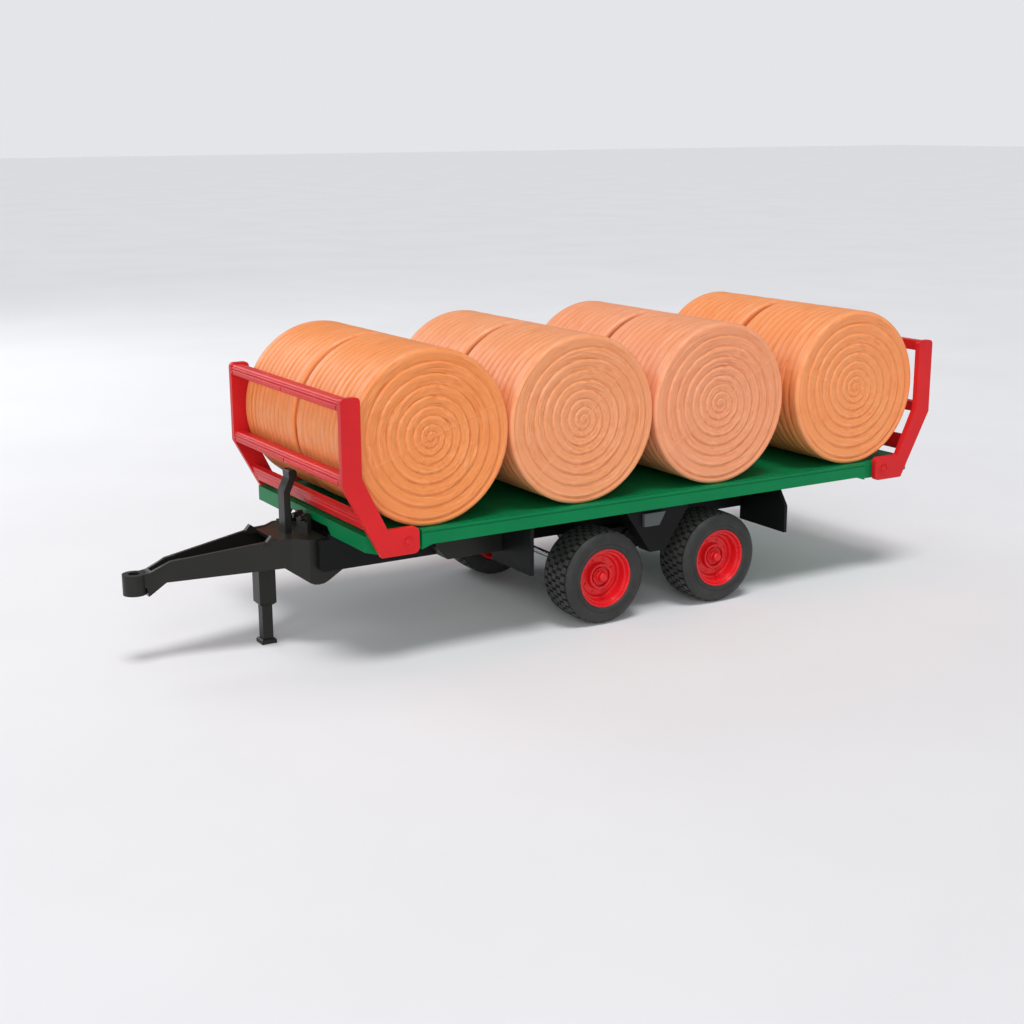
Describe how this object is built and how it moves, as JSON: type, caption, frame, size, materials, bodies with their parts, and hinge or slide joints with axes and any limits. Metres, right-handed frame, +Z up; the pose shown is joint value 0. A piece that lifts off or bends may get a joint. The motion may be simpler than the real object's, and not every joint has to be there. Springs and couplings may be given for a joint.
{
  "type": "toy bale trailer",
  "caption": "Toy flatbed farm trailer with hollow round bales, swinging end gates, a rocking tandem-axle bogie, and a drawbar with a hitch eye and parking jack.",
  "frame": {"origin": "on the ground, under the middle of the trailer's box", "axes": "+X towards the hitch, +Y to the trailer's left side, +Z up"},
  "size_m": [0.5418, 0.1638, 0.1804],
  "materials": {
    "deck_green": "satin moulded",
    "gate_red": "satin moulded",
    "rim_red": "glossy moulded",
    "tyre_black": "matt rubber",
    "bale_orange": "satin blow-moulded",
    "black_plastic": "fine moulded grain",
    "steel": "drawn"
  },
  "bodies": {
    "chassis": {"deck": "deck_green", "chassis_rail_left": "black_plastic", "chassis_rail_right": "black_plastic", "chassis_cross_members": "black_plastic", "deck_screws": "steel", "tool_boxes": "black_plastic", "front_mud_flap_left": "black_plastic", "front_mud_flap_right": "black_plastic", "rear_mud_flap_left": "black_plastic", "rear_mud_flap_right": "black_plastic", "wheel_divider_left": "black_plastic", "wheel_divider_right": "black_plastic", "bogie_pivot_pin": "black_plastic", "drawbar": "black_plastic", "drawbar_pin": "black_plastic", "hitch_eye": "black_plastic", "jack_housing": "black_plastic", "hose_holder": "black_plastic", "hose_couplings": "black_plastic"},
    "jack": {"jack_leg": "black_plastic", "jack_foot": "black_plastic"},
    "bogie": {"bogie_beam_left": "black_plastic", "bogie_beam_right": "black_plastic", "bogie_cross_tubes": "black_plastic", "front_axle": "steel", "rear_axle": "steel", "axle_push_nuts": "steel"},
    "front_left_wheel": {"front_left_tyre": "tyre_black", "front_left_rim": "rim_red", "front_left_hub_cap": "rim_red"},
    "front_right_wheel": {"front_right_tyre": "tyre_black", "front_right_rim": "rim_red", "front_right_hub_cap": "rim_red"},
    "rear_left_wheel": {"rear_left_tyre": "tyre_black", "rear_left_rim": "rim_red", "rear_left_hub_cap": "rim_red"},
    "rear_right_wheel": {"rear_right_tyre": "tyre_black", "rear_right_rim": "rim_red", "rear_right_hub_cap": "rim_red"},
    "front_gate": {"front_gate_left_plate": "gate_red", "front_gate_right_plate": "gate_red", "front_gate_top_rail": "gate_red", "front_gate_middle_rail": "gate_red", "front_gate_lower_rail": "gate_red", "front_gate_pins": "gate_red"},
    "rear_gate": {"rear_gate_left_plate": "gate_red", "rear_gate_right_plate": "gate_red", "rear_gate_top_rail": "gate_red", "rear_gate_middle_rail": "gate_red", "rear_gate_lower_rail": "gate_red", "rear_gate_pins": "gate_red"},
    "bale_1_left_load": {"bale_1_left": "bale_orange"},
    "bale_1_right_load": {"bale_1_right": "bale_orange"},
    "bale_2_left_load": {"bale_2_left": "bale_orange"},
    "bale_2_right_load": {"bale_2_right": "bale_orange"},
    "bale_3_left_load": {"bale_3_left": "bale_orange"},
    "bale_3_right_load": {"bale_3_right": "bale_orange"},
    "bale_4_left_load": {"bale_4_left": "bale_orange"},
    "bale_4_right_load": {"bale_4_right": "bale_orange"}
  },
  "joints": [
    {"name": "jack_slide", "type": "slide", "parent": "chassis", "child": "jack", "axis": [0, 0, 1], "range_m": [0, 0.02]},
    {"name": "bogie_rock", "type": "hinge", "parent": "chassis", "child": "bogie", "pos_m": [-0.05, 0, 0.042], "axis": [0, 1, 0], "range_deg": [-8, 8]},
    {"name": "front_left_wheel_spin", "type": "hinge", "parent": "bogie", "child": "front_left_wheel", "pos_m": [-0.00575, 0, 0.0295], "axis": [0, 1, 0], "continuous": true},
    {"name": "front_right_wheel_spin", "type": "hinge", "parent": "bogie", "child": "front_right_wheel", "pos_m": [-0.00575, 0, 0.0295], "axis": [0, 1, 0], "continuous": true},
    {"name": "rear_left_wheel_spin", "type": "hinge", "parent": "bogie", "child": "rear_left_wheel", "pos_m": [-0.09425, 0, 0.0295], "axis": [0, 1, 0], "continuous": true},
    {"name": "rear_right_wheel_spin", "type": "hinge", "parent": "bogie", "child": "rear_right_wheel", "pos_m": [-0.09425, 0, 0.0295], "axis": [0, 1, 0], "continuous": true},
    {"name": "front_gate_hinge", "type": "hinge", "parent": "chassis", "child": "front_gate", "pos_m": [0.131, 0, 0.073], "axis": [0, 1, 0], "range_deg": [0, 4]},
    {"name": "rear_gate_hinge", "type": "hinge", "parent": "chassis", "child": "rear_gate", "pos_m": [-0.2314, 0, 0.073], "axis": [0, -1, 0], "range_deg": [0, 100]},
    {"name": "bale_1_left_lift", "type": "slide", "parent": "chassis", "child": "bale_1_left_load", "axis": [0, 0, 1], "range_m": [0, 0.1]},
    {"name": "bale_1_right_lift", "type": "slide", "parent": "chassis", "child": "bale_1_right_load", "axis": [0, 0, 1], "range_m": [0, 0.1]},
    {"name": "bale_2_left_lift", "type": "slide", "parent": "chassis", "child": "bale_2_left_load", "axis": [0, 0, 1], "range_m": [0, 0.1]},
    {"name": "bale_2_right_lift", "type": "slide", "parent": "chassis", "child": "bale_2_right_load", "axis": [0, 0, 1], "range_m": [0, 0.1]},
    {"name": "bale_3_left_lift", "type": "slide", "parent": "chassis", "child": "bale_3_left_load", "axis": [0, 0, 1], "range_m": [0, 0.1]},
    {"name": "bale_3_right_lift", "type": "slide", "parent": "chassis", "child": "bale_3_right_load", "axis": [0, 0, 1], "range_m": [0, 0.1]},
    {"name": "bale_4_left_lift", "type": "slide", "parent": "chassis", "child": "bale_4_left_load", "axis": [0, 0, 1], "range_m": [0, 0.1]},
    {"name": "bale_4_right_lift", "type": "slide", "parent": "chassis", "child": "bale_4_right_load", "axis": [0, 0, 1], "range_m": [0, 0.1]}
  ]
}
